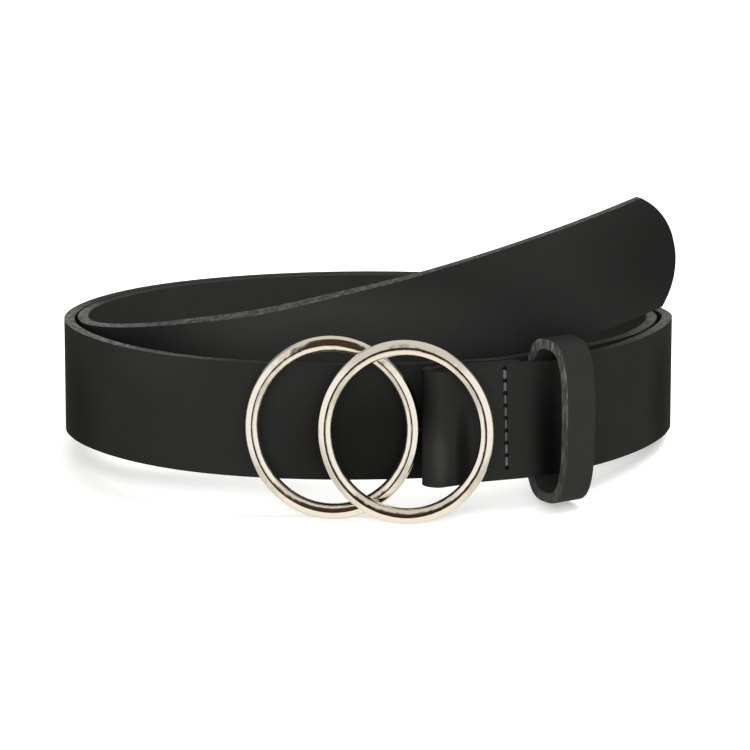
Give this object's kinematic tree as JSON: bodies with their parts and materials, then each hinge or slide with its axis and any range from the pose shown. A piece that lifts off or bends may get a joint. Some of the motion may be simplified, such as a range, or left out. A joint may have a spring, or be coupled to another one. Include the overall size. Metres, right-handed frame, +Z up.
{
  "type": "cinch belt",
  "caption": "Rolled-up waist belt of black leather on its edge, with interlocked pale gold rings as its buckle, a rounded keeper loop and a rising round-tipped tail.",
  "frame": {"origin": "on the floor under the middle of the belt's bounding box", "axes": "+X along the coil's long way, to the right when the buckle faces the viewer; -Y to the front, where the buckle is; +Z up"},
  "size_m": [0.1742, 0.1452, 0.0781],
  "materials": {
    "black_leather": "matte black, with lighter grey cut edges",
    "pale_gold": "polished pale gold plate",
    "keeper_leather": "matte black, with lighter grey cut edges"
  },
  "bodies": {
    "root": {"strap": "black_leather", "double_ring_buckle": "pale_gold", "keeper_loop": "keeper_leather"}
  },
  "joints": []
}
